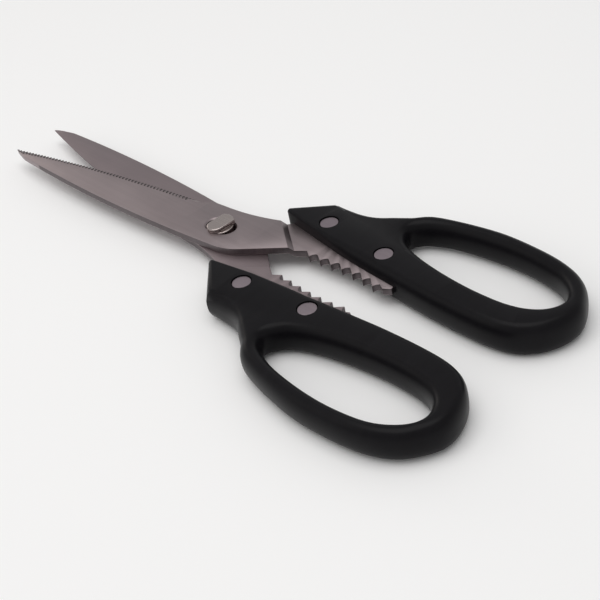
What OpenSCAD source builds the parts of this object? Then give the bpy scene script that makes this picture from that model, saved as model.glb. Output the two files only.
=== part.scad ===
// Take-apart poultry shears: two riveted halves that turn on one stud.
// Each half is drawn closed, with the stud's axis at its origin, its blade
// along -X and its handle on the +Y side. The lower half is the same shape
// turned over about X. Both are then opened by half of the opening angle.

/* [Opening] */
// Angle between the two halves at rest
open_angle = 8.6; // [8.6:0.2:40]

/* [Blades] */
// Distance from the stud's axis to the tips
blade_reach = 104; // [85:0.5:125]
// Thickness of the blades and of their tangs
blade_t = 2.2; // [1.8:0.05:2.7]
// Gap between the faces that slide on each other
ride_gap = 0.1; // [0.06:0.02:0.2]
// Depth of a blade's back below the stud's axis
back_depth = 8.6; // [8:0.1:10]
// Depth of the back's curve below the stud's axis, under the blade's tip
nose_depth = 2.28; // [1.5:0.02:3.5]
// Radius of the curve of the cutting edge
edge_r = 657; // [500:10:900]
// Radius of the blunt nose
nose_r = 30; // [20:1:32]
// Width of the ground bevel
bevel_w = 2.6; // [1.5:0.1:3.5]
// Thickness left at the cutting edge
edge_land = 0.25; // [0.1:0.05:0.5]
// Distance from the stud's axis to the heel of the bevel
heel_x = 15; // [13:0.5:25]

/* [Neck and tang] */
// Radius of the curve from the blade's back to the jaw
throat_r = 18; // [12:1:22]
// Slope of the straight run before the jaw
throat_slope = 33.5; // [30:0.5:36]
// Radius of the curve on the handle side of the neck
neck_r = 74; // [60:1:90]
// Where the set-down towards the middle plane begins
set_start = 17.5; // [16.5:0.1:18]
// Length of the set-down
set_len = 2.2; // [1.6:0.1:2.6]
// Direction in which the set-down runs
set_dir = 51.3; // [45:0.5:56]

/* [Jaw teeth] */
// Number of jaw teeth
tooth_count = 7; // [4:1:7]
// Distance between jaw teeth
tooth_pitch = 4.17; // [3.2:0.01:4.2]
// Depth of a jaw tooth
tooth_depth = 1.9; // [1:0.1:2.2]
// Distance from the stud's axis to the first jaw tooth
jaw_x = 30.9; // [29:0.1:33]

/* [Stud and slot] */
// Diameter of the neck that the upper blade turns on
neck_d = 7.7; // [6.6:0.1:9.3]
// Radial running clearance on the neck
neck_fit = 0.05; // [0.02:0.01:0.09]
// How far the head reaches past the neck on each side
head_lip = 0.55; // [0.4:0.05:1]
// Width of the head across its flats
head_w = 5.5; // [4.6:0.1:6]
// Height of the head above the upper blade
head_h = 1.4; // [1:0.1:2]
// Turn of the head on the lower blade
head_turn = 2.8; // [0:0.2:6]
// Room around the head when it passes through the slot
slot_room = 0.25; // [0.15:0.05:0.4]
// How far the slot reaches past the head's ends
slot_extra = 1; // [0.3:0.1:1.4]
// Diameter of the shank riveted through the lower blade
shank_d = 6; // [4.5:0.1:6.4]
// Height of the riveted tail
tail_h = 0.9; // [0.6:0.1:1.2]

/* [Handles] */
// Thickness of the handles
handle_t = 10; // [8.5:0.1:12.5]
// Distance from the stud's axis to the back of the loops
handle_reach = 114; // [100:0.5:135]
// Distance from the centre line to the outer side of a loop
loop_out = 35.9; // [32:0.1:42]
// Distance from the centre line to the inner side, closed
close_gap = 0.25; // [0.2:0.05:2]
// Thickness of the loop's outer wall
wall_out = 5.5; // [5.4:0.1:7]
// Thickness of the loop's rear wall
wall_rear = 6.6; // [6:0.1:8]
// Thickness of the bar on the jaw side of the loop
wall_in = 10.3; // [8:0.1:11]
// Distance from the stud's axis to the front of the finger hole
hole_x = 53.3; // [51:0.1:58]
// Width of the rounded edges, seen from above
edge_w = 2.6; // [1.5:0.1:2.65]
// Height of the rounded edges
edge_h = 4.3; // [2:0.1:4.8]
// Radius of the edges beside the jaw, at the front
jaw_edge = 0.9; // [0.6:0.1:1.4]

/* [Rivets] */
// Diameter of the rivet heads
rivet_head_d = 5.25; // [4:0.05:6.35]
// Height of the rivet heads
rivet_head_h = 1.2; // [0.8:0.1:1.6]
// Depth of the heads below the handle's faces
rivet_sink = 0.3; // [0.1:0.05:0.6]
// Outer diameter of the rivet sleeves
sleeve_d = 3.4; // [2.8:0.1:3.8]
// Diameter of the rivet pins
pin_d = 2.2; // [1.6:0.1:2.4]
// Gap around the rivet heads
rivet_room = 0.2; // [0.1:0.05:0.4]

/* [Hidden] */
steel = [0.72, 0.70, 0.70];
rivet_grey = [0.62, 0.60, 0.62];
black_nylon = [0.13, 0.12, 0.14];
eps = 0.01;

// Points on an arc about c from angle a0 to a1, in n steps
function arc(c, r, a0, a1, n) = [for (i = [0:n]) let (a = a0 + (a1 - a0) * i / n)
    [c[0] + r * cos(a), c[1] + r * sin(a)]];
// Direction of b seen from a
function heading(a, b) = atan2(b[1] - a[1], b[0] - a[0]);
// Where two circles cross, on the right of the line from c1 to c2
function meet(c1, r1, c2, r2) =
    let (d = norm(c2 - c1), u = (c2 - c1) / d,
         along = (r1 * r1 - r2 * r2 + d * d) / (2 * d),
         off = sqrt(r1 * r1 - along * along))
    c1 + along * u + off * [-u[1], u[0]];
// One step of a smooth curve through the points b and c
function curve_at(a, b, c, d, t) = 0.5 * (2 * b + (c - a) * t
    + (2 * a - 5 * b + 4 * c - d) * t * t + (3 * b - a - 3 * c + d) * t * t * t);
// Smooth open curve through the points p, with n steps between neighbours
function open_curve(p, n) = concat([for (i = [0:len(p) - 2]) for (k = [0:n - 1])
    curve_at(p[max(i - 1, 0)], p[i], p[i + 1], p[min(i + 2, len(p) - 1)], k / n)],
    [p[len(p) - 1]]);
// Smooth closed curve through the points p
function closed_curve(p, n) = let (m = len(p)) [for (i = [0:m - 1]) for (k = [0:n - 1])
    curve_at(p[(i + m - 1) % m], p[i], p[(i + 1) % m], p[(i + 2) % m], k / n)];
// Places the fractions f of a box with corners lo and hi
function spread(f, lo, hi) = [for (q = f) [lo[0] + q[0] * (hi[0] - lo[0]),
                                           lo[1] + q[1] * (hi[1] - lo[1])]];

// --- Blade outline, closed, from the tip round by the back ---
tip = [-blade_reach, 0];
edge_x = 1.8;
edge_c = [edge_x, -sqrt(edge_r * edge_r - pow(blade_reach + edge_x, 2))];
back_x = -13.6;
back_rise = back_depth - nose_depth;
back_r = (pow(blade_reach + back_x, 2) + back_rise * back_rise) / (2 * back_rise);
back_c = [back_x, back_r - back_depth];
nose_c = meet(back_c, back_r - nose_r, tip, nose_r);
throat_x = 5;
throat_a = asin((throat_x - back_x) / back_r);
throat_start = back_c + back_r * [sin(throat_a), -cos(throat_a)];
throat_c = throat_start + throat_r * [-sin(throat_a), cos(throat_a)];
jaw_y = 4.2;
neck_x = -5;
neck_y = edge_c[1] + sqrt(edge_r * edge_r - pow(neck_x - edge_x, 2));
neck_end = asin((16.4 - neck_x) / neck_r);
// The crests of the jaw teeth run straight, then drop towards the rear
function crest_y(x) = 2.7 - 0.0068 * pow(max(0, x - 42), 2);
function tooth(i) = let (x = jaw_x + i * tooth_pitch, xc = x + 0.58 * tooth_pitch,
                         xn = x + tooth_pitch, yc = crest_y(xc))
    concat([[x, crest_y(x) + tooth_depth - 0.15]],
           [for (a = [0:30:60]) [xn - (xn - xc) * cos(a), yc + tooth_depth * sin(a)]]);
jaw_end = jaw_x + tooth_count * tooth_pitch;
tang_end = jaw_end + 4;

blade_line = concat(
    arc(nose_c, nose_r, heading(nose_c, tip) + 360, heading(back_c, nose_c) + 360, 6),
    arc(back_c, back_r, heading(back_c, nose_c), throat_a - 90, 14),
    arc(throat_c, throat_r, throat_a - 90, throat_slope - 90, 6),
    [[jaw_x - 4.4, 2.1]],
    [for (i = [0:tooth_count - 1]) each tooth(i)],
    [[jaw_end - 0.1, crest_y(jaw_end) + tooth_depth],
     [jaw_end + 1.3, crest_y(jaw_end) + tooth_depth - 0.8],
     [tang_end - 0.4, crest_y(jaw_end) + tooth_depth + 0.3]],
    [[tang_end, 6], [tang_end - 2.7, 11.3], [tang_end - 7.2, 14.6],
     [34, 19], [27, 19], [21.5, 16.3]],
    arc([neck_x, neck_y + neck_r], neck_r, neck_end - 90, -90, 6),
    arc(edge_c, edge_r, heading(edge_c, [neck_x - 2, neck_y]), heading(edge_c, tip), 16));

// --- Side view of the set-down, along set_dir ---
blade_z = ride_gap / 2;
blade_top = blade_z + blade_t;
set_end = set_start + set_len;
far = 160;
side_line = [[-far, blade_z], [set_start, blade_z], [set_end, -blade_t / 2],
             [far, -blade_t / 2], [far, blade_t / 2], [set_end, blade_t / 2],
             [set_start, blade_top], [-far, blade_top]];

// --- Handle outline, closed, from the front's outer corner round the loop ---
front_in = [14, 13.8];
front_out = [26.7, 24.5];
loop_x = 49.5;
loop_f = [[0, 0.82], [0.11, 0.94], [0.4, 1], [0.63, 0.965], [0.8, 0.89], [0.915, 0.765],
          [0.985, 0.57], [1, 0.42], [0.972, 0.253], [0.916, 0.12], [0.83, 0.027],
          [0.7, 0], [0.47, 0.03], [0.25, 0.085]];
handle_pts = concat([front_out, [31.5, 24.1], [37, 24.1], [41.5, 25.1], [45.4, 27.2]],
    spread(loop_f, [loop_x, close_gap], [handle_reach, loop_out]),
    [[47, 6.3], [31, 9.8], front_in]);
handle_line = open_curve(handle_pts, 3);
hole_f = [[0, 0.67], [0.04, 0.83], [0.124, 0.92], [0.235, 0.975], [0.4, 1], [0.567, 0.985],
          [0.715, 0.925], [0.845, 0.827], [0.937, 0.673], [0.993, 0.495], [1, 0.317],
          [0.96, 0.149], [0.88, 0.04], [0.77, 0], [0.604, 0.025], [0.438, 0.094],
          [0.272, 0.198], [0.142, 0.317], [0.05, 0.46]];
hole_line = closed_curve(spread(hole_f, [hole_x, close_gap + wall_in],
    [handle_reach - wall_rear, loop_out - wall_out]), 3);

// --- Frame: middle of the whole object in X, lowest face at Z = 0 ---
half_open = open_angle / 2;
rear_reach = max([for (p = handle_line) p[0] * cos(half_open) - p[1] * sin(half_open)]);
frame_x = (blade_reach * cos(half_open) - rear_reach) / 2;
frame_z = handle_t / 2;
rivet_at = [[31.2, 14.7], [55.1, 10.5]];
head_z = handle_t / 2 - rivet_sink;
seat_z = head_z - rivet_head_h;
circle_fn = 64;

// Holds the upper half in the frame at its rest angle
module upper_half() {
    translate([frame_x, 0, frame_z]) rotate([0, 0, half_open]) children();
}

// Holds the lower half, turned over, at its rest angle
module lower_half() {
    translate([frame_x, 0, frame_z]) rotate([0, 0, -half_open]) rotate([180, 0, 0]) children();
}

// Cone that grinds the bevel along the cutting edge
module bevel_cutter() {
    start_a = heading(edge_c, tip) + 1;
    end_a = heading(edge_c, [-heel_x, neck_y]);
    slope = bevel_w / (blade_t - edge_land);
    translate([edge_c[0], edge_c[1], 0]) rotate([0, 0, end_a])
        rotate_extrude(angle = start_a - end_a, $fn = 1440)
            polygon([[edge_r, blade_z + edge_land], [edge_r + 2, blade_z + edge_land],
                     [edge_r + 2, blade_top + 1],
                     [edge_r - bevel_w - slope, blade_top + 1]]);
}

// A blade with its neck and tang, as one bent blank
module blank() {
    difference() {
        intersection() {
            translate([0, 0, -blade_t]) linear_extrude(3 * blade_t) polygon(blade_line);
            rotate([0, 0, set_dir]) translate([0, far, 0]) rotate([90, 0, 0])
                linear_extrude(2 * far) polygon(side_line);
        }
        bevel_cutter();
        for (p = rivet_at) {
            translate([p[0], p[1], 0]) cylinder(d = sleeve_d, h = 2 * blade_t,
                                                center = true, $fn = circle_fn);
        }
    }
}

// The blade on top: round bore for the neck, and the slot that lets the head through
module upper_blade() {
    slot_w = head_w + 2 * slot_room;
    slot_c = neck_d / 2 + head_lip + slot_extra - slot_w / 2;
    color(steel) upper_half() difference() {
        blank();
        cylinder(d = neck_d + 2 * neck_fit, h = 4 * blade_t, center = true, $fn = circle_fn);
        translate([0, 0, blade_t]) cube([2 * slot_c, slot_w, 4 * blade_t], center = true);
        for (x = [-slot_c, slot_c]) {
            translate([x, 0, 0]) cylinder(d = slot_w, h = 4 * blade_t,
                                          center = true, $fn = circle_fn);
        }
    }
}

// The blade underneath, which the stud is riveted into
module lower_blade() {
    color(steel) lower_half() difference() {
        blank();
        cylinder(d = shank_d, h = 4 * blade_t, center = true, $fn = circle_fn);
    }
}

// Stud: shank and riveted tail below, round neck, and a head with two flats
module pivot_stud() {
    neck_top = blade_top + ride_gap / 2;
    head_top = blade_top + head_h;
    color(steel) translate([frame_x, 0, frame_z]) rotate([0, 0, head_turn - half_open]) {
        translate([0, 0, -blade_top]) cylinder(d = shank_d, h = blade_t, $fn = circle_fn);
        translate([0, 0, -blade_top - tail_h])
            cylinder(d1 = shank_d + 1, d2 = shank_d + 2.4, h = tail_h, $fn = circle_fn);
        translate([0, 0, -blade_z]) cylinder(d = neck_d, h = neck_top + blade_z,
                                             $fn = circle_fn);
        intersection() {
            translate([0, 0, neck_top]) cylinder(d = neck_d + 2 * head_lip,
                                                 h = head_top - neck_top, $fn = circle_fn);
            translate([0, 0, head_top / 2])
                cube([head_w, 2 * neck_d, head_top + 2], center = true);
        }
    }
}

// Inward unit normals of a closed outline that runs clockwise, mitred at corners
function inward(p) = let (m = len(p)) [for (i = [0:m - 1])
    let (a = p[i] - p[(i + m - 1) % m], b = p[(i + 1) % m] - p[i],
         na = [a[1], -a[0]] / norm(a), nb = [b[1], -b[0]] / norm(b))
    (na + nb) / (1 + na * nb)];
// Share of the full rounding at the point q with inward normal n: none beside the
// jaw and at the front's inner corner, all on the outer side and on the loop
function share_at(q, n) = max(min(1, max(0, (q[0] - 30) / 20)),
    (1 - n[1] / norm(n)) / 2 * min(1, max(0, (q[0] - front_in[0]) / 9)));
// Width and height of the rounding at the point q with inward normal n
function edge_at(q, n) = [jaw_edge, jaw_edge]
    + share_at(q, n) * [edge_w - jaw_edge, edge_h - jaw_edge];

// Closed solid between rounded upper and lower edges. side is 1 for a body whose
// edges are rounded off and -1 for a cutter that rounds the edges of its hole.
module pillow(line, side, over) {
    m = len(line);
    n = inward(line);
    steps = [90, 60, 30, 0, 0, -30, -60, -90];
    rings = [for (k = [0:7]) for (i = [0:m - 1])
        let (e = edge_at(line[i], n[i]), s = k < 4 ? 1 : -1, a = abs(steps[k]),
             q = line[i] + side * n[i] * e[0] * (1 - cos(a)),
             grow = a == 90 ? over : 0)
        [q[0], q[1], s * (handle_t / 2 - e[1] + e[1] * sin(a) + grow)]];
    sides = [for (k = [0:6]) for (i = [0:m - 1]) let (j = (i + 1) % m)
        each [[k * m + i, (k + 1) * m + j, k * m + j],
              [k * m + i, (k + 1) * m + i, (k + 1) * m + j]]];
    caps = [[for (i = [0:m - 1]) i], [for (i = [m - 1:-1:0]) 7 * m + i]];
    polyhedron(points = rings, faces = concat(sides, caps), convexity = 6);
}

// A one-piece handle with its finger loop, tang slot and stepped rivet holes
module grip() {
    difference() {
        pillow(handle_line, 1, 0);
        pillow(hole_line, -1, 0.5);
        linear_extrude(blade_t, center = true) polygon(blade_line);
        for (p = rivet_at) {
            translate([p[0], p[1], 0]) {
                cylinder(d = sleeve_d, h = 2 * handle_t, center = true, $fn = circle_fn);
                for (s = [-1, 1]) {
                    translate([0, 0, s * (seat_z + handle_t / 2)])
                        cylinder(d = rivet_head_d + 2 * rivet_room, h = handle_t,
                                 center = true, $fn = circle_fn);
                }
            }
        }
    }
}

module upper_handle() {
    color(black_nylon) upper_half() grip();
}

module lower_handle() {
    color(black_nylon) lower_half() grip();
}

// Headed pin of rivet i, driven from the side that faces up on the upper half
module rivet_pin(i) {
    translate([rivet_at[i][0], rivet_at[i][1], 0]) {
        translate([0, 0, seat_z]) cylinder(d = rivet_head_d, h = rivet_head_h,
                                           $fn = circle_fn);
        translate([0, 0, -seat_z]) cylinder(d = pin_d, h = 2 * seat_z, $fn = circle_fn);
    }
}

// Headed sleeve of rivet i, which the pin is pressed into
module rivet_sleeve(i) {
    translate([rivet_at[i][0], rivet_at[i][1], 0]) difference() {
        union() {
            translate([0, 0, -head_z]) cylinder(d = rivet_head_d, h = rivet_head_h,
                                                $fn = circle_fn);
            translate([0, 0, -seat_z]) cylinder(d = sleeve_d, h = 2 * seat_z,
                                                $fn = circle_fn);
        }
        translate([0, 0, -seat_z]) cylinder(d = pin_d, h = 3 * seat_z, $fn = circle_fn);
    }
}

module upper_rivet_pin(i) {
    color(rivet_grey) upper_half() rivet_pin(i);
}

module upper_rivet_sleeve(i) {
    color(rivet_grey) upper_half() rivet_sleeve(i);
}

module lower_rivet_pin(i) {
    color(rivet_grey) lower_half() rivet_pin(i);
}

module lower_rivet_sleeve(i) {
    color(rivet_grey) lower_half() rivet_sleeve(i);
}

upper_blade();
lower_blade();
pivot_stud();
upper_handle();
lower_handle();
upper_rivet_pin(0);  // upper_front_rivet_pin
upper_rivet_sleeve(0);  // upper_front_rivet_sleeve
upper_rivet_pin(1);  // upper_rear_rivet_pin
upper_rivet_sleeve(1);  // upper_rear_rivet_sleeve
lower_rivet_pin(0);  // lower_front_rivet_pin
lower_rivet_sleeve(0);  // lower_front_rivet_sleeve
lower_rivet_pin(1);  // lower_rear_rivet_pin
lower_rivet_sleeve(1);  // lower_rear_rivet_sleeve
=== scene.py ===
# %% [markdown]
# Take-apart poultry shears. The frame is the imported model: two halves that
# turn on one stud. Every visible piece is modelled again here with finer
# edges, in the same place and inside the same box, and rides on its half.

# %% Load the frame
import bpy
from math import acos, asin, atan2, cos, degrees, hypot, pi, radians, sin, sqrt
from mathutils import Matrix, Vector


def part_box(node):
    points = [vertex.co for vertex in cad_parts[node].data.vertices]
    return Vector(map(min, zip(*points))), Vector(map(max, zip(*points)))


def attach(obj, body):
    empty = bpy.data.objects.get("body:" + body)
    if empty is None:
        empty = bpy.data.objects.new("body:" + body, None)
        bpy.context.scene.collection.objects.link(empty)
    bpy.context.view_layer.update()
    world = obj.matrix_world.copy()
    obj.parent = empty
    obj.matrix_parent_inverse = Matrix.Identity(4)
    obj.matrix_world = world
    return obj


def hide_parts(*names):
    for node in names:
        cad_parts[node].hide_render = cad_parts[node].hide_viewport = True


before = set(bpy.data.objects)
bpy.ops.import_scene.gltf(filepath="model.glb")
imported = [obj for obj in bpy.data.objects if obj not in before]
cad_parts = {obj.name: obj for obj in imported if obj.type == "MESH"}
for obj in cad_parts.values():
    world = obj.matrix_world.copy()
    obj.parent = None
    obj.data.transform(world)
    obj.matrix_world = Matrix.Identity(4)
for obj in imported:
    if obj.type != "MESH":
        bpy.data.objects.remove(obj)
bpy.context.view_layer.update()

# %% [markdown]
# The pieces are drawn in millimetres in a half's own frame: the stud's axis
# at the origin, the blade along -X, and the handle on the +Y side, closed.
# The lower half is the same shape turned over about X. `finish_piece` brings
# a drawn piece into the row frame, where its object stays at the origin.

# %% Sizes shared by the pieces
MM = 0.001
BLADE_T = 2.2
RIDE = 0.05
HALF_OPEN = radians(4.3)
HANDLE_T = 10.0
stud_low, stud_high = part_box("pivot_stud")
PIVOT = Vector(((stud_low.x + stud_high.x) / 2, 0, HANDLE_T / 2 * MM))
TURN_OVER = Matrix.Rotation(pi, 4, "X")
SEAT = {
    "upper": Matrix.Translation(PIVOT) @ Matrix.Rotation(HALF_OPEN, 4, "Z"),
    "lower": Matrix.Translation(PIVOT) @ Matrix.Rotation(-HALF_OPEN, 4, "Z") @ TURN_OVER,
}
BODY = {"upper": "upper_half", "lower": "lower_half", "stud": "lower_half"}
print("stud axis at", [round(v, 5) for v in PIVOT])


# %% Helpers for edit mode
def start():
    """Leaves edit mode and deselects everything."""
    if bpy.context.mode != "OBJECT":
        bpy.ops.object.mode_set(mode="OBJECT")
    bpy.ops.object.select_all(action="DESELECT")


def ring_piece(name, ring):
    """A circle of as many corners as ring has, each brought to its point."""
    start()
    bpy.ops.mesh.primitive_circle_add(vertices=len(ring), radius=1)
    piece = bpy.context.object
    piece.name = name
    for v, p in zip(piece.data.vertices, ring):
        v.co = p
    return piece


def add_rings(piece, rings):
    """Extrudes the open edge once for each ring and brings it to its points."""
    mesh = piece.data
    for ring in rings:
        bpy.ops.object.mode_set(mode="EDIT")
        bpy.ops.mesh.extrude_edges_move()
        bpy.ops.object.mode_set(mode="OBJECT")
        picked = [v for v in mesh.vertices if v.select]
        for v, p in zip(picked, ring):
            v.co = p


def pick(piece, kind, test):
    """Selects the vertices, edges or faces for which test is true, in edit mode."""
    bpy.context.view_layer.objects.active = piece
    bpy.ops.object.mode_set(mode="EDIT")
    bpy.ops.mesh.select_mode(type=kind)
    bpy.ops.mesh.select_all(action="DESELECT")
    bpy.ops.object.mode_set(mode="OBJECT")
    mesh = piece.data
    items = {"VERT": mesh.vertices, "EDGE": mesh.edges, "FACE": mesh.polygons}[kind]
    count = 0
    for item in items:
        if test(item):
            item.select = True
            count += 1
    bpy.ops.object.mode_set(mode="EDIT")
    return count


def tidy_mesh(piece):
    """Merges doubles and makes every face point outwards."""
    bpy.context.view_layer.objects.active = piece
    bpy.ops.object.mode_set(mode="EDIT")
    bpy.ops.mesh.select_all(action="SELECT")
    bpy.ops.mesh.remove_doubles(threshold=1e-7)
    bpy.ops.mesh.normals_make_consistent(inside=False)
    bpy.ops.object.mode_set(mode="OBJECT")


def cut_with(piece, cutter, operation="DIFFERENCE"):
    """Applies one Boolean and removes the cutter."""
    start()
    piece.select_set(True)
    bpy.context.view_layer.objects.active = piece
    cut = piece.modifiers.new("cut", "BOOLEAN")
    cut.operation = operation
    cut.solver = "EXACT"
    cut.object = cutter
    bpy.ops.object.modifier_apply(modifier=cut.name)
    bpy.data.objects.remove(cutter)


def finish_piece(piece, half, node, material, smooth=30):
    """Brings a drawn piece to its half, shades it, and ties it to the frame."""
    start()
    piece.data.transform(Matrix.Scale(MM, 4))
    piece.data.transform(SEAT[half])
    piece.select_set(True)
    bpy.context.view_layer.objects.active = piece
    bpy.ops.object.shade_smooth_by_angle(angle=radians(smooth))
    piece.data.materials.clear()
    piece.data.materials.append(material)
    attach(piece, BODY[half])
    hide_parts(node)
    size = [round(1000 * d, 1) for d in piece.dimensions]
    print(piece.name, size, "mm,", len(piece.data.polygons), "faces")
    return piece


# %% Curves that the outlines are drawn with
def arc(cx, cy, r, a0, a1, n):
    """n + 1 points on an arc about (cx, cy), angles in degrees."""
    return [(cx + r * cos(radians(a0 + (a1 - a0) * i / n)),
             cy + r * sin(radians(a0 + (a1 - a0) * i / n))) for i in range(n + 1)]


def curve_at(a, b, c, d, t):
    """One point of a smooth curve from b to c, with a and d as neighbours."""
    return tuple(0.5 * (2 * b[k] + (c[k] - a[k]) * t
                        + (2 * a[k] - 5 * b[k] + 4 * c[k] - d[k]) * t * t
                        + (3 * b[k] - a[k] - 3 * c[k] + d[k]) * t ** 3)
                 for k in (0, 1))


def smooth_curve(points, closed, steps=12):
    """A dense smooth curve through the points."""
    n = len(points)
    out = []
    for i in range(n if closed else n - 1):
        near = [i - 1, i, i + 1, i + 2]
        ids = [j % n for j in near] if closed else [min(max(j, 0), n - 1) for j in near]
        out += [curve_at(*[points[j] for j in ids], k / steps) for k in range(steps)]
    return out if closed else out + [points[-1]]


def even(points, count, closed=True):
    """The same curve with count points at even distances along it."""
    loop = points + [points[0]] if closed else points
    at = [0.0]
    for p, q in zip(loop, loop[1:]):
        at.append(at[-1] + hypot(q[0] - p[0], q[1] - p[1]))
    out, j = [], 0
    for i in range(count):
        d = at[-1] * i / (count if closed else count - 1)
        while j < len(at) - 2 and at[j + 1] < d:
            j += 1
        t = (d - at[j]) / (at[j + 1] - at[j])
        out.append((loop[j][0] + t * (loop[j + 1][0] - loop[j][0]),
                    loop[j][1] + t * (loop[j + 1][1] - loop[j][1])))
    return out


# %% [markdown]
# A blade, its neck and its tang are one stamped and ground blank. Its outline
# is walked once and held as points, so that the same walk gives the lower
# face, the thin land at the cutting edge, a line on the bevel and the upper
# face, whose edge side lies further in by the width of the bevel. Extruding
# an open ring of edges and moving it is how a lofted shape is made by hand.

# %% Blade outline
REACH = 104.0
EDGE_X, EDGE_TOP, EDGE_SPAN = 1.8, 8.52, 1314.0
BACK_X, BACK_R, BACK_Y = -13.6, 650.0, -8.6
NECK_X, NECK_Y, NECK_R = -5.0, 8.45, 74.0
BEVEL_W, LAND = 2.6, 0.22
SET_START, SET_LEN = 17.75, 1.6
SERRATION_PITCH, SERRATION_DEPTH, SERRATION_END, TOOTH_W = 1.45, 0.7, -20.0, 1.35
GROOVE_RUN, HOLLOW_SHARE, NOSE_FROM, BORE_ROOM = 0.8, 0.6, -86, 6


def edge_y(x):
    """Height of the cutting edge at x."""
    return EDGE_TOP - (x - EDGE_X) ** 2 / EDGE_SPAN


def nose_y(x):
    """Height of the back at x, with the blunt nose."""
    back = BACK_Y + (x - BACK_X) ** 2 / (2 * BACK_R)
    s = x + REACH
    nose = -0.62 * sqrt(max(s, 0)) - 0.2 * s
    return max(back, nose) if s < 14 else back


def serration(x):
    """Depth of the fine teeth at x: rounded points with sharp notches between."""
    if x > SERRATION_END or x < -REACH + 0.8:
        return 0.0
    phase = (x / SERRATION_PITCH) % 1.0
    return SERRATION_DEPTH * (1 - sin(pi * phase)) ** 0.8


def groove(x):
    """How far the grinding of a fine tooth runs on into the upper face at x."""
    if x > SERRATION_END or x < -REACH + 2:
        return 0.0
    return GROOVE_RUN * sin(pi * ((x / SERRATION_PITCH) % 1.0)) ** 2


def tooth_faces_given_painted_shade(blank):
    """Faces of the fine teeth's points, which are coloured near-black as painted shade."""
    return [f.index for f in blank.data.polygons
            if f.center.x < SERRATION_END and serration(f.center.x) < 0.45 * SERRATION_DEPTH
            and f.center.y > edge_y(f.center.x) - BEVEL_W - GROOVE_RUN and 0.1 < f.normal.z < 0.99]


def wall_faces_given_painted_shade(blank):
    """Upright walls left by the stamping, which get painted shade, apart from the nose, which keeps the
    blade's colour.
    """
    return [f.index for f in blank.data.polygons
            if abs(f.normal.z) < 0.3 and f.center.x > NOSE_FROM
            and hypot(f.center.x, f.center.y) > BORE_ROOM]


def crest_y(x):
    """Height of the jaw teeth's crests at x."""
    return 2.7 - 0.0068 * max(0, x - 42) ** 2


def jaw_teeth():
    """Outline of the seven jaw teeth and of the end behind them."""
    pitch, depth, first = 4.17, 1.9, 30.9
    out = [(26.5, 2.1)]
    for i in range(7):
        x = first + i * pitch
        xc, xn, y = x + 0.58 * pitch, x + pitch, crest_y(x + 0.58 * pitch)
        out.append((x, crest_y(x) + depth - 0.15))
        out += [(xn - (xn - xc) * cos(radians(a)), y + depth * sin(radians(a)))
                for a in range(0, 76, 15)]
    end = first + 7 * pitch
    y = crest_y(end) + depth
    return out + [(end - 0.1, y), (end + 1.3, y - 0.8), (end + 3.6, y + 0.3)]


throat = degrees(asin((5 - BACK_X) / BACK_R))
throat_y = BACK_Y + BACK_R * (1 - cos(radians(throat)))
EDGE_STEPS = 680
edge_xs = [NECK_X - 2 + (-REACH - NECK_X + 2) * i / EDGE_STEPS for i in range(EDGE_STEPS + 1)]
back_xs = [-REACH + 14 * (i / 14) ** 2 for i in range(1, 14)] + [-90 + 95 * i / 40 for i in range(40)]
outline = [(x, nose_y(x)) for x in back_xs]
outline += arc(5 - 18 * sin(radians(throat)), throat_y + 18 * cos(radians(throat)), 18,
               throat - 90, 33.5 - 90, 14)
outline += jaw_teeth()
outline += [(62, 9), (58, 12.5), (52, 14.6), (34, 18), (27, 18.5), (21.5, 16.3)]
neck_end = degrees(asin((16.4 - NECK_X) / NECK_R))
outline += arc(NECK_X, NECK_Y + NECK_R, NECK_R, neck_end - 90, -90, 14)
EDGE_FROM = len(outline)
outline += [(x, edge_y(x)) for x in edge_xs]
print("outline points:", len(outline), "of which on the cutting edge:", EDGE_STEPS + 1)


# %% Bevel, thickness and set-down
def bevel_at(x):
    """Width of the bevel: full along the edge, run out in a curve at the heel."""
    heel = min(1, max(0, (-12.5 - x) / 6.5))
    return BEVEL_W * sqrt(1 - (1 - heel) ** 2)


def blade_t(x):
    """Thickness of the blade, which is ground thinner towards the tip."""
    return BLADE_T - 0.75 * max(0, (-68 - x) / 36) ** 1.6


def blade_rings(serrated):
    """Lower face, top of the land, a line on the bevel and upper face, as rings."""
    low, land, mid, top = [], [], [], []
    for i, (x, y) in enumerate(outline):
        t = blade_t(x)
        if i < EDGE_FROM:
            room = edge_y(x) - y if x < -80 else BEVEL_W
            z = min(t, LAND + (t - LAND) * max(room, 0) / BEVEL_W)
            low.append((x, y, RIDE))
            land.append((x, y, RIDE + min(LAND, z)))
            top.append((x, y, RIDE + max(z, LAND + 0.01)))
            mid.append((x, y, (land[-1][2] + top[-1][2]) / 2))
            continue
        slope = -2 * (x - EDGE_X) / EDGE_SPAN
        size = hypot(slope, 1)
        dx, dy = slope / size, -1 / size
        notch = serration(x) if serrated else 0.0
        width = max(bevel_at(x), 0.001)
        room = max(0.02, min(width, 0.97 * (y - nose_y(x + dx * width))))
        full = max(width, 0.35)
        z = LAND + (t - LAND) * min(1, room / full if width > 0.35 else 1)
        low.append((x + dx * notch, y + dy * notch, RIDE))
        land.append((x + dx * notch, y + dy * notch, RIDE + LAND))
        step = min(TOOTH_W, 0.7 * room)
        hollow = 1 - HOLLOW_SHARE * min(1, max(0, (SERRATION_END - x) / 3)) if serrated else 1
        mid.append((x + dx * step, y + dy * step, RIDE + LAND + (z - LAND) * step / room * hollow))
        limit = max(room, 0.97 * (y - nose_y(x + dx * width)))
        wide = min(limit, room + (groove(x) if serrated else 0.0))
        top.append((x + dx * wide, y + dy * wide, RIDE + z))
    return low, land, mid, top


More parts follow.
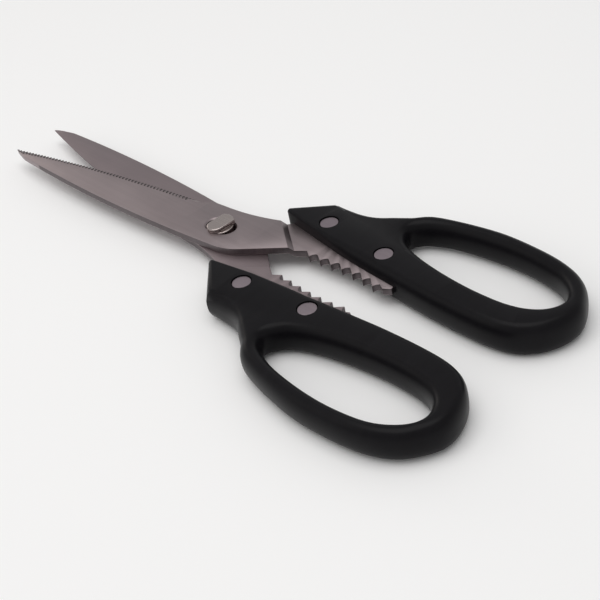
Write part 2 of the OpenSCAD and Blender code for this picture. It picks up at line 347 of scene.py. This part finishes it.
def make_blank(name, serrated):
    """A solid blank: four rings, both faces, and the set-down of the tang."""
    low, land, mid, top = blade_rings(serrated)
    blank = ring_piece(name, low)
    bpy.ops.object.mode_set(mode="EDIT")
    bpy.ops.mesh.select_all(action="SELECT")
    bpy.ops.mesh.edge_face_add()
    bpy.ops.object.mode_set(mode="OBJECT")
    pick(blank, "EDGE", lambda e: True)
    bpy.ops.object.mode_set(mode="OBJECT")
    add_rings(blank, [land, mid, top])
    bpy.ops.object.mode_set(mode="EDIT")
    bpy.ops.mesh.edge_face_add()
    for x in range(-100, -4, 4):
        bpy.ops.mesh.select_all(action="SELECT")
        bpy.ops.mesh.bisect(plane_co=(x + 0.03, 0, 0), plane_no=(1, 0, 0))
    turn = radians(51.3)
    along = Vector((cos(turn), sin(turn), 0))
    for d in (SET_START, SET_START + SET_LEN / 2, SET_START + SET_LEN):
        bpy.ops.mesh.select_all(action="SELECT")
        bpy.ops.mesh.bisect(plane_co=along * d, plane_no=along)
    bpy.ops.object.mode_set(mode="OBJECT")
    for v in blank.data.vertices:
        s = min(1, max(0, (v.co.dot(along) - SET_START) / SET_LEN)) if v.co.x > 5 else 0
        v.co.z -= (RIDE + BLADE_T / 2) * s
    tidy_mesh(blank)
    return blank


# %% [markdown]
# Every edge of a real blank catches a thin line of light, because deburring
# leaves it slightly round. The upright walls' upper and lower edges get a
# small bevel; the ground edge stays sharp.

# %% Deburred edges, bore and slot
def deburr(blank, width):
    """Small bevels where a level face meets an upright wall, off the ground edge."""
    mesh = blank.data
    faces = {}
    for f in mesh.polygons:
        for key in f.edge_keys:
            faces.setdefault(key, []).append(f.normal)

    def wanted(e):
        normals = faces.get(e.key, [])
        if len(normals) != 2:
            return False
        a, b = mesh.vertices[e.vertices[0]].co, mesh.vertices[e.vertices[1]].co
        ground = (a.x < -12 and a.y > edge_y(a.x) - BEVEL_W - 0.7) or a.x < -99
        flat = sorted(abs(n.z) for n in normals)
        return not ground and flat[0] < 0.3 and flat[1] > 0.8

    found = pick(blank, "EDGE", wanted)
    bpy.ops.mesh.bevel(offset=width, segments=2, profile=0.5, clamp_overlap=False)
    bpy.ops.object.mode_set(mode="OBJECT")
    print(blank.name, "deburred edges:", found)


def round_bar(radius, low, high, x=0.0, y=0.0, corners=96):
    """A bar along Z to cut with or to build on, in millimetres."""
    start()
    bpy.ops.mesh.primitive_cylinder_add(vertices=corners, radius=radius, depth=high - low,
                                        location=(x, y, (low + high) / 2))
    bpy.ops.object.transform_apply(location=True, rotation=True, scale=True)
    return bpy.context.object


SLOT_HALF_W, SLOT_END, BORE_R = 3.0, 2.4, 3.9


def cut_slot(blade):
    """The round bore and the slot that lets the stud's head through."""
    start()
    bpy.ops.mesh.primitive_cube_add(size=1, location=(0, 0, 1), scale=(2 * SLOT_END, 2 * SLOT_HALF_W, 6))
    bpy.ops.object.transform_apply(location=True, rotation=True, scale=True)
    cutter = bpy.context.object
    for x in (-SLOT_END, SLOT_END):
        cut_with(cutter, round_bar(SLOT_HALF_W, -2, 4, x), "UNION")
    cut_with(cutter, round_bar(BORE_R, -2, 4), "UNION")
    cut_with(blade, cutter)
    for x in (-SLOT_END, SLOT_END):
        start()
        bpy.ops.mesh.primitive_cone_add(vertices=96, radius1=SLOT_HALF_W - 0.02,
                                        radius2=SLOT_HALF_W + 0.42, depth=0.44,
                                        location=(x, 0, RIDE + BLADE_T + 0.02 - 0.22 + 0.005))
        bpy.ops.object.transform_apply(location=True, rotation=True, scale=True)
        cut_with(blade, bpy.context.object)


# %% [markdown]
# The stud is turned and then milled: a round neck that the upper blade turns
# on, a head with two flats that passes through the slot when the halves are
# opened wide, and a tail that is riveted over under the lower blade.

# %% Stud
STUD_HEAD_R, STUD_FLAT, STUD_TURN = 4.4, 2.75, radians(2.8)
HEAD_END_Y, HEAD_END_R = -1.6, 2.8
NECK_TOP, HEAD_TOP = 2.3, 3.65


def make_stud():
    """Head, neck and tail joined into one piece, in the row frame's millimetres."""
    corner = degrees(acos(STUD_FLAT / STUD_HEAD_R))
    line = arc(0, 0, STUD_HEAD_R, corner, 180 - corner, 16)
    line += [(STUD_FLAT * cos(radians(a)), HEAD_END_Y + HEAD_END_R * sin(radians(a)))
             for a in range(180, 361, 8)]
    tiers = [(NECK_TOP, 0.97), (NECK_TOP + 0.05, 1), (NECK_TOP + 0.5, 1), (NECK_TOP + 0.56, 0.93),
             (NECK_TOP + 0.64, 0.93), (NECK_TOP + 0.7, 1), (HEAD_TOP - 0.25, 1),
             (HEAD_TOP - 0.11, 0.985), (HEAD_TOP - 0.03, 0.95), (HEAD_TOP, 0.9), (HEAD_TOP + 0.015, 0.8)]
    rings = [[(x * k, y * k, z) for x, y in line] for z, k in tiers]
    head = ring_piece("head", rings[0])
    bpy.ops.object.mode_set(mode="EDIT")
    bpy.ops.mesh.select_all(action="SELECT")
    bpy.ops.mesh.edge_face_add()
    bpy.ops.object.mode_set(mode="OBJECT")
    pick(head, "EDGE", lambda e: True)
    bpy.ops.object.mode_set(mode="OBJECT")
    add_rings(head, rings[1:])
    bpy.ops.object.mode_set(mode="EDIT")
    bpy.ops.mesh.edge_face_add()
    bpy.ops.object.mode_set(mode="OBJECT")
    tidy_mesh(head)
    neck = round_bar(3.85, -0.05, NECK_TOP - 0.05)
    pick(neck, "EDGE", lambda e: all(neck.data.vertices[i].co.z > NECK_TOP - 0.1 for i in e.vertices))
    bpy.ops.mesh.bevel(offset=0.25, segments=3, profile=0.5)
    bpy.ops.object.mode_set(mode="OBJECT")
    cut_with(head, neck, "UNION")
    cut_with(head, round_bar(3.0, -2.4, 0.0), "UNION")
    tail = round_bar(4.15, -3.15, -2.25)
    pick(tail, "EDGE", lambda e: all(tail.data.vertices[i].co.z < -3.1 for i in e.vertices))
    bpy.ops.mesh.bevel(offset=0.7, segments=6, profile=0.5)
    bpy.ops.object.mode_set(mode="OBJECT")
    cut_with(head, tail, "UNION")
    head.name = "turned_stud"
    return head


# %% [markdown]
# Each handle is moulded in one piece around the tang. Its section is a flat
# top and bottom with rounded edges, small beside the jaw and full on the loop.
# Rings of points round the outside and round the finger hole are extruded
# down the wall, and the space between them is filled at the top and bottom.

# %% Handle outlines
LOOP_X, REAR_X, OUT_Y, IN_Y = 49.5, 114.0, 35.9, 0.25
WALL_OUT, WALL_REAR, WALL_IN, HOLE_X = 5.5, 6.6, 10.3, 53.3
FRONT_IN, FRONT_OUT, JAW_SIDE = (14.0, 13.8), (26.7, 24.5), (31, 9.8)
CORNER_R, CORNER_ROOM = 1.0, 2.4
EDGE_W, EDGE_H, JAW_EDGE = 2.6, 4.3, 0.9
BAR_DROP = 0.3
LOOP_SHAPE = [(0, 0.82), (0.11, 0.94), (0.4, 1), (0.63, 0.965), (0.8, 0.89), (0.915, 0.765),
              (0.985, 0.57), (1, 0.42), (0.972, 0.253), (0.916, 0.12), (0.83, 0.027),
              (0.7, 0), (0.47, 0.03), (0.25, 0.085)]
HOLE_SHAPE = [(0, 0.67), (0.04, 0.83), (0.124, 0.92), (0.235, 0.975), (0.4, 1), (0.567, 0.985),
              (0.715, 0.925), (0.845, 0.827), (0.937, 0.673), (0.993, 0.495), (1, 0.317),
              (0.96, 0.149), (0.88, 0.04), (0.77, 0), (0.604, 0.025), (0.438, 0.094),
              (0.272, 0.198), (0.142, 0.317), (0.05, 0.46)]


def spread(shape, low, high):
    """Places fractions of a box that runs from low to high."""
    return [(low[0] + u * (high[0] - low[0]), low[1] + v * (high[1] - low[1])) for u, v in shape]


def round_corner(corner, last, first, radius):
    """A small arc in a corner that is reached from last and left towards first."""
    a = atan2(last[1] - corner[1], last[0] - corner[0])
    b = atan2(first[1] - corner[1], first[0] - corner[0])
    half = ((b - a) % (2 * pi)) / 2
    reach = radius / sin(half)
    cx, cy = corner[0] + reach * cos(a + half), corner[1] + reach * sin(a + half)
    facing, sweep = degrees(a + half) + 180, 90 - degrees(half)
    return arc(cx, cy, radius, facing + sweep, facing - sweep, 4)


side_points = [FRONT_OUT, (31.5, 24.1), (37, 24.1), (41.5, 25.1), (45.4, 27.2)]
side_points += spread(LOOP_SHAPE, (LOOP_X, IN_Y), (REAR_X, OUT_Y))
side_points += [(47, 6.3), JAW_SIDE, FRONT_IN]
RING = 200
outer_line = [p for p in even(smooth_curve(side_points, False), RING, False)
              if all(hypot(p[0] - c[0], p[1] - c[1]) > CORNER_ROOM for c in (FRONT_IN, FRONT_OUT))]
outer_line = [FRONT_OUT] + outer_line + round_corner(FRONT_IN, JAW_SIDE, FRONT_OUT, CORNER_R)
RING = len(outer_line)
hole_points = spread(HOLE_SHAPE, (HOLE_X, IN_Y + WALL_IN), (REAR_X - WALL_REAR, OUT_Y - WALL_OUT))
hole_line = even(smooth_curve(hole_points, True), RING)
print("handle ring points:", RING)


def ramp(value, low, high):
    """0 below low, 1 above high, and a smooth rise between."""
    t = min(1, max(0, (value - low) / (high - low)))
    return t * t * (3 - 2 * t)


def edge_size(x, facing):
    """Width and height of the rounded edge at x: facing is 1 beside the jaw, -1 opposite."""
    front = (1 - facing) / 2 * min(1, max(0, (x - FRONT_IN[0]) / 9))
    share = max(min(1, max(0, (x - 30) / 20)), front)
    return JAW_EDGE + share * (EDGE_W - JAW_EDGE), JAW_EDGE + share * (EDGE_H - JAW_EDGE)


def top_z(x, y):
    """Height of the upper face: a little lower along the loop's outer bar."""
    return HANDLE_T / 2 - BAR_DROP * ramp(x, 40, 56) * ramp(y, 13, 25)


def inward(line):
    """Mitred inward normals of a clockwise closed line."""
    out = []
    for i, p in enumerate(line):
        a, b = line[i - 1], line[(i + 1) % len(line)]
        ax, ay = p[0] - a[0], p[1] - a[1]
        bx, by = b[0] - p[0], b[1] - p[1]
        la, lb = hypot(ax, ay), hypot(bx, by)
        na, nb = (ay / la, -ax / la), (by / lb, -bx / lb)
        k = 1 + na[0] * nb[0] + na[1] * nb[1]
        out.append(((na[0] + nb[0]) / k, (na[1] + nb[1]) / k))
    return out


def wall_rings(line, side):
    """Rings from the upper face round the edge, down the wall and under."""
    normals = inward(line)
    rings = []
    for sign, angles in ((1, range(90, -1, -15)), (-1, range(0, 91, 15))):
        for a in angles:
            ring = []
            for (x, y), (nx, ny) in zip(line, normals):
                w, h = edge_size(x, ny / hypot(nx, ny))
                k = side * w * (1 - cos(radians(a)))
                ring.append((x + nx * k, y + ny * k, sign * (top_z(x, y) - h + h * sin(radians(a)))))
            rings.append(ring)
    return rings


# %% Handle body
CREASE_AT, CREASE_DIR = Vector((26.6, 22.3, 0)), radians(-13.8)
CREASE_RUN, CREASE_DROP, CREASE_W = 46.0, 0.35, 0.45


def fill_face(piece, z):
    """Fills between the two open edges that lie near the height z."""
    uses = {}
    for f in piece.data.polygons:
        for key in f.edge_keys:
            uses[key] = uses.get(key, 0) + 1
    pick(piece, "EDGE", lambda e: uses.get(e.key) == 1
         and all(abs(piece.data.vertices[i].co.z - z) < 1 for i in e.vertices))
    bpy.ops.mesh.fill()
    bpy.ops.object.mode_set(mode="OBJECT")


def make_grip():
    """One handle, drawn closed, with its crease and without its rivet holes."""
    shells = []
    for name, line, side in (("grip", outer_line, 1), ("grip_hole", hole_line, -1)):
        rings = wall_rings(line, side)
        shell = ring_piece(name, rings[0])
        pick(shell, "EDGE", lambda e: True)
        bpy.ops.object.mode_set(mode="OBJECT")
        add_rings(shell, rings[1:])
        shells.append(shell)
    start()
    for shell in shells:
        shell.select_set(True)
    bpy.context.view_layer.objects.active = shells[0]
    bpy.ops.object.join()
    grip = shells[0]
    for z in (HANDLE_T / 2, -HANDLE_T / 2):
        fill_face(grip, z)
    tidy_mesh(grip)
    along = Vector((cos(CREASE_DIR), sin(CREASE_DIR), 0))
    out = Vector((-along.y, along.x, 0))
    bpy.ops.object.mode_set(mode="EDIT")
    cuts = ((CREASE_AT, out), (CREASE_AT + out * CREASE_W, out), (CREASE_AT + along * CREASE_RUN, along))
    for spot, normal in cuts:
        bpy.ops.mesh.select_all(action="SELECT")
        bpy.ops.mesh.bisect(plane_co=spot, plane_no=normal)
    bpy.ops.object.mode_set(mode="OBJECT")
    for v in grip.data.vertices:
        d = (v.co - CREASE_AT).dot(out)
        u = (v.co - CREASE_AT).dot(along)
        drop = CREASE_DROP * min(1, max(0, d / CREASE_W)) * min(1, max(0, 1 - u / CREASE_RUN))
        v.co.z -= drop * v.co.z / (HANDLE_T / 2)
    return grip


# %% [markdown]
# Cutlery rivets come in two parts that are pressed together through the
# handle: a headed pin and a headed sleeve. Their heads sit just below the
# face of the handle, in a hole a little wider than the head.

# %% Rivets
RIVET_AT = ((31.2, 14.7), (55.1, 10.5))
RIVET_R, RIVET_SINK, RIVET_H, RIVET_ROOM = 2.72, 0.3, 1.2, 0.24
SLEEVE_R, PIN_R = 1.7, 1.1
HEAD_Z = HANDLE_T / 2 - RIVET_SINK
SEAT_Z = HEAD_Z - RIVET_H


def drill_grip(grip):
    """Round seats for the rivet heads in both faces."""
    for x, y in RIVET_AT:
        for low, high in ((SEAT_Z, 8), (-8, -SEAT_Z)):
            cut_with(grip, round_bar(RIVET_R + RIVET_ROOM, low, high, x, y, 64))


def make_rivet(sleeve):
    """A slightly domed head on its shank; the sleeve is hollow and faces down."""
    head = round_bar(RIVET_R, SEAT_Z, HEAD_Z, corners=64)
    top = [f for f in head.data.polygons if f.normal.z > 0.9][0].index
    pick(head, "FACE", lambda f: f.index == top)
    for step, drop in ((0.28, 0.0), (0.5, 0.03), (0.7, 0.03)):
        bpy.ops.mesh.inset(thickness=step)
        bpy.ops.transform.translate(value=(0, 0, drop))
    bpy.ops.object.mode_set(mode="OBJECT")
    pick(head, "EDGE", lambda e: all(abs(head.data.vertices[i].co.z - HEAD_Z) < 1e-4
                                     and hypot(head.data.vertices[i].co.x, head.data.vertices[i].co.y)
                                     > RIVET_R - 0.01 for i in e.vertices))
    bpy.ops.mesh.bevel(offset=0.16, segments=3, profile=0.5)
    bpy.ops.object.mode_set(mode="OBJECT")
    shank = round_bar(SLEEVE_R if sleeve else PIN_R, -SEAT_Z, SEAT_Z + 0.2, corners=48)
    cut_with(head, shank, "UNION")
    if sleeve:
        cut_with(head, round_bar(PIN_R, -SEAT_Z - 1, SEAT_Z, corners=48))
        head.data.transform(TURN_OVER)
    return head


def copy_of(piece, name):
    """A copy with its own mesh."""
    twin = piece.copy()
    twin.data = piece.data.copy()
    twin.name = name
    bpy.context.scene.collection.objects.link(twin)
    return twin


# %% [markdown]
# The finishes: steel that was brushed along the blade, with painted shade as a
# darker copy for the lower blade, darker upright walls and near-black points of
# the fine teeth, turned steel on the stud and rivets, and black moulded nylon
# with a fine grain. Each kind of line or grain is one node group, which the
# materials share.

# %% Node groups
def group(name, inputs, outputs):
    """An empty node group with its sockets and both end nodes."""
    g = bpy.data.node_groups.new(name, "ShaderNodeTree")
    for label, kind, value in inputs:
        s = g.interface.new_socket(label, in_out="INPUT", socket_type=kind)
        if value is not None:
            s.default_value = value
    for label, kind in outputs:
        g.interface.new_socket(label, in_out="OUTPUT", socket_type=kind)
    return g, g.nodes.new("NodeGroupInput"), g.nodes.new("NodeGroupOutput")


def math_node(tree, op, a, b):
    """A math node fed by sockets or numbers."""
    n = tree.nodes.new("ShaderNodeMath")
    n.operation = op
    for i, value in enumerate((a, b)):
        if isinstance(value, (int, float)):
            n.inputs[i].default_value = value
        else:
            tree.links.new(value, n.inputs[i])
    return n.outputs[0]


def noise(tree, vector, scale, detail, rough=0.55):
    """A noise texture on the given vector."""
    n = tree.nodes.new("ShaderNodeTexNoise")
    n.inputs["Scale"].default_value = scale
    n.inputs["Detail"].default_value = detail
    n.inputs["Roughness"].default_value = rough
    tree.links.new(vector, n.inputs["Vector"])
    return n.outputs["Fac"]


def stretched(tree, vector, angle, scale):
    """The coordinates turned about Z and stretched by a Mapping node."""
    m = tree.nodes.new("ShaderNodeMapping")
    m.inputs["Rotation"].default_value = (0, 0, angle)
    m.inputs["Scale"].default_value = scale
    tree.links.new(vector, m.inputs["Vector"])
    return m.outputs["Vector"]


def brushed_group(name, angle, fine_scale=(60, 3200, 900), coarse_scale=(18, 700, 300)):
    """Fine lines along the blade: Lines is the brushing, Patches slow variation."""
    g, gin, gout = group(name, [("Vector", "NodeSocketVector", None)],
                         [("Lines", "NodeSocketFloat"), ("Patches", "NodeSocketFloat")])
    v = gin.outputs["Vector"]
    fine = noise(g, stretched(g, v, angle, fine_scale), 1.0, 3)
    coarse = noise(g, stretched(g, v, angle, coarse_scale), 1.0, 2)
    both = math_node(g, "ADD", math_node(g, "MULTIPLY", fine, 0.6), math_node(g, "MULTIPLY", coarse, 0.4))
    g.links.new(both, gout.inputs["Lines"])
    g.links.new(noise(g, v, 55, 4), gout.inputs["Patches"])
    return g


def grain_group():
    """Fine mould grain, with faint handling marks."""
    g, gin, gout = group("mould_grain", [("Vector", "NodeSocketVector", None)],
                         [("Grain", "NodeSocketFloat"), ("Marks", "NodeSocketFloat")])
    v = gin.outputs["Vector"]
    g.links.new(noise(g, v, 4200, 2), gout.inputs["Grain"])
    marks = noise(g, stretched(g, v, 0.6, (260, 40, 120)), 1.0, 5, 0.7)
    g.links.new(marks, gout.inputs["Marks"])
    return g


# %% Materials
def between(tree, factor, low, high):
    """Maps a 0 to 1 factor to the range low to high."""
    m = tree.nodes.new("ShaderNodeMapRange")
    m.inputs["From Min"].default_value = 0.3
    m.inputs["From Max"].default_value = 0.7
    m.inputs["To Min"].default_value = low
    m.inputs["To Max"].default_value = high
    tree.links.new(factor, m.inputs["Value"])
    return m.outputs["Result"]


def tint(tree, factor, dark, light):
    """A colour between dark and light."""
    m = tree.nodes.new("ShaderNodeMix")
    m.data_type = "RGBA"
    m.inputs["A"].default_value = (*dark, 1)
    m.inputs["B"].default_value = (*light, 1)
    tree.links.new(factor, m.inputs["Factor"])
    return m.outputs["Result"]


def material(name, shared, dark, light, rough, metallic, bump, outputs):
    """A Principled material whose colour, roughness and bump come from a group."""
    mat = bpy.data.materials.new(name)
    mat.use_nodes = True
    tree = mat.node_tree
    shader = tree.nodes["Principled BSDF"]
    shader.inputs["Metallic"].default_value = metallic
    place = tree.nodes.new("ShaderNodeTexCoord")
    effect = tree.nodes.new("ShaderNodeGroup")
    effect.node_tree = shared
    tree.links.new(place.outputs["Object"], effect.inputs["Vector"])
    fine, slow = effect.outputs[outputs[0]], effect.outputs[outputs[1]]
    halves = [math_node(tree, "MULTIPLY", part, 0.5) for part in (fine, slow)]
    mixed = math_node(tree, "ADD", *halves)
    tree.links.new(tint(tree, between(tree, mixed, 0, 1), dark, light), shader.inputs["Base Color"])
    tree.links.new(between(tree, mixed, *rough), shader.inputs["Roughness"])
    bumper = tree.nodes.new("ShaderNodeBump")
    bumper.inputs["Strength"].default_value = bump[0]
    bumper.inputs["Distance"].default_value = bump[1]
    tree.links.new(fine, bumper.inputs["Height"])
    tree.links.new(bumper.outputs["Normal"], shader.inputs["Normal"])
    return mat


lines_upper = brushed_group("brushing_upper", -HALF_OPEN)
lines_lower = brushed_group("brushing_lower", HALF_OPEN)
stamping = brushed_group("stamping_lines", 0, (2600, 500, 60), (900, 300, 40))
grain = grain_group()
steel_upper = material("blade_steel_upper", lines_upper, (0.29, 0.245, 0.252), (0.36, 0.305, 0.312),
                       (0.36, 0.46), 1.0, (0.12, 0.00002), ("Lines", "Patches"))
# Painted shade: the lower blade's steel is a darker copy of the upper blade's.
steel_lower_shaded_copy = material("blade_steel_lower_painted_shade", lines_lower, (0.275, 0.225, 0.235), (0.34, 0.28, 0.29),
                       (0.36, 0.46), 1.0, (0.12, 0.00002), ("Lines", "Patches"))
stud_steel = material("stud_steel", lines_lower, (0.40, 0.35, 0.34), (0.50, 0.44, 0.42),
                      (0.22, 0.32), 1.0, (0.08, 0.00002), ("Lines", "Patches"))
rivet_steel = material("rivet_steel", lines_upper, (0.27, 0.225, 0.25), (0.33, 0.28, 0.305),
                       (0.34, 0.46), 1.0, (0.1, 0.00002), ("Lines", "Patches"))
# Painted shade: the fine teeth's points are near-black, standing for their shadow on the bevel.
teeth_shade_steel = material("tooth_points_painted_shade", lines_upper, (0.02, 0.016, 0.016), (0.05, 0.04, 0.04),
                       (0.45, 0.6), 1.0, (0.1, 0.00002), ("Lines", "Patches"))
# Painted shade: the upright walls are darker than the faces; the stamping lines give them grain.
wall_shade_steel = material("stamped_walls_painted_shade", stamping, (0.10, 0.085, 0.09), (0.19, 0.165, 0.17),
                         (0.42, 0.55), 1.0, (0.25, 0.00003), ("Lines", "Patches"))
nylon = material("black_nylon", grain, (0.0045, 0.004, 0.005), (0.008, 0.0075, 0.009),
                 (0.30, 0.38), 0.0, (0.10, 0.00002), ("Grain", "Marks"))
nylon.node_tree.nodes["Principled BSDF"].inputs["Specular IOR Level"].default_value = 0.1

# %% [markdown]
# With the helpers and finishes ready, the pieces are made, put on their
# halves and tied to the nodes that they stand for.

# %% Blades
upper = make_blank("upper_blade_ground", True)
deburr(upper, 0.16)
cut_slot(upper)
# The teeth's points and the upright walls take the painted-shade materials in slots 1 and 2.
finishes = {1: tooth_faces_given_painted_shade(upper), 2: wall_faces_given_painted_shade(upper)}
finish_piece(upper, "upper", "upper_blade", steel_upper)
for number, finish in ((1, teeth_shade_steel), (2, wall_shade_steel)):
    upper.data.materials.append(finish)
    for i in finishes[number]:
        upper.data.polygons[i].material_index = number
print("faces on the fine teeth and walls:", [len(v) for v in finishes.values()])
lower = make_blank("lower_blade_ground", False)
deburr(lower, 0.16)
# The lower blade's upright walls take the painted-shade material too.
walls = wall_faces_given_painted_shade(lower)
finish_piece(lower, "lower", "lower_blade", steel_lower_shaded_copy)
lower.data.materials.append(wall_shade_steel)
for i in walls:
    lower.data.polygons[i].material_index = 1

# %% Stud
SEAT["stud"] = Matrix.Translation(PIVOT) @ Matrix.Rotation(STUD_TURN - HALF_OPEN, 4, "Z")
stud = make_stud()
finish_piece(stud, "stud", "pivot_stud", stud_steel)

# %% Handles
grip = make_grip()
drill_grip(grip)
grip.name = "upper_grip"
lower_grip = copy_of(grip, "lower_grip")
finish_piece(grip, "upper", "upper_handle", nylon, 40)
finish_piece(lower_grip, "lower", "lower_handle", nylon, 40)

# %% Rivets in their places
for kind, hollow in (("pin", False), ("sleeve", True)):
    pattern = make_rivet(hollow)
    for half in ("upper", "lower"):
        for spot, (x, y) in zip(("front", "rear"), RIVET_AT):
            rivet = copy_of(pattern, f"{half}_{spot}_{kind}_domed")
            rivet.data.transform(Matrix.Translation((x, y, 0)))
            finish_piece(rivet, half, f"{half}_{spot}_rivet_{kind}", rivet_steel)
    bpy.data.objects.remove(pattern)

# %% [markdown]
# The shears lie on a plain pale floor in soft light: a large soft panel
# overhead, two weak ones on the left, and a pale surround.

# %% Floor
start()
bpy.ops.mesh.primitive_plane_add(size=6, location=(0, 0, -0.0002))
floor = bpy.context.object
floor.name = "floor"
paper = bpy.data.materials.new("floor_white")
paper.use_nodes = True
paper.node_tree.nodes["Principled BSDF"].inputs["Base Color"].default_value = (0.95, 0.95, 0.95, 1)
paper.node_tree.nodes["Principled BSDF"].inputs["Roughness"].default_value = 0.9
floor.data.materials.append(paper)


# %% Lights
def panel(name, place, aim, size, power, colour=(1, 1, 1)):
    """A soft rectangular light that faces aim."""
    data = bpy.data.lights.new(name, "AREA")
    data.shape = "RECTANGLE"
    data.size, data.size_y = size
    data.energy = power
    data.color = colour
    lamp = bpy.data.objects.new(name, data)
    bpy.context.scene.collection.objects.link(lamp)
    lamp.location = place
    lamp.rotation_euler = (Vector(aim) - Vector(place)).to_track_quat("-Z", "Y").to_euler()
    return lamp


panel("top_panel", (0.05, -0.1, 0.95), (0.03, 0, 0), (0.9, 0.9), 4.6, (1, 0.99, 0.98))
panel("low_left_panel", (-0.9, 0.1, 0.3), (0.03, 0, 0), (0.4, 0.3), 0.5, (1, 0.93, 0.86))
panel("left_panel", (-0.4, -0.7, 0.5), (0.03, 0, 0), (0.6, 0.6), 0.7, (1, 0.96, 0.92))
world = bpy.data.worlds.new("soft_surround")
bpy.context.scene.world = world
world.use_nodes = True
world.node_tree.nodes["Background"].inputs["Color"].default_value = (1, 1, 1, 1)
world.node_tree.nodes["Background"].inputs["Strength"].default_value = 0.5
bpy.context.scene.view_settings.view_transform = "Standard"

# %% Camera
VIEW_DIR = Vector((-0.65297, 0.46943, -0.59436))
ROLL = radians(-12.21)
camera_data = bpy.data.cameras.new("camera")
camera = bpy.data.objects.new("camera", camera_data)
bpy.context.scene.collection.objects.link(camera)
level = VIEW_DIR.cross(Vector((0, 0, 1))).normalized()
lift = level.cross(VIEW_DIR).normalized()
right = level * cos(ROLL) + lift * sin(ROLL)
rise = lift * cos(ROLL) - level * sin(ROLL)
turn = Matrix((right, rise, -VIEW_DIR)).transposed().to_4x4()
camera.matrix_world = Matrix.Translation(PIVOT + Vector((0.2669, -0.1692, 0.2023))) @ turn
camera_data.lens = 75.02
camera_data.sensor_width = 36
camera_data.clip_start = 0.01
bpy.context.scene.camera = camera
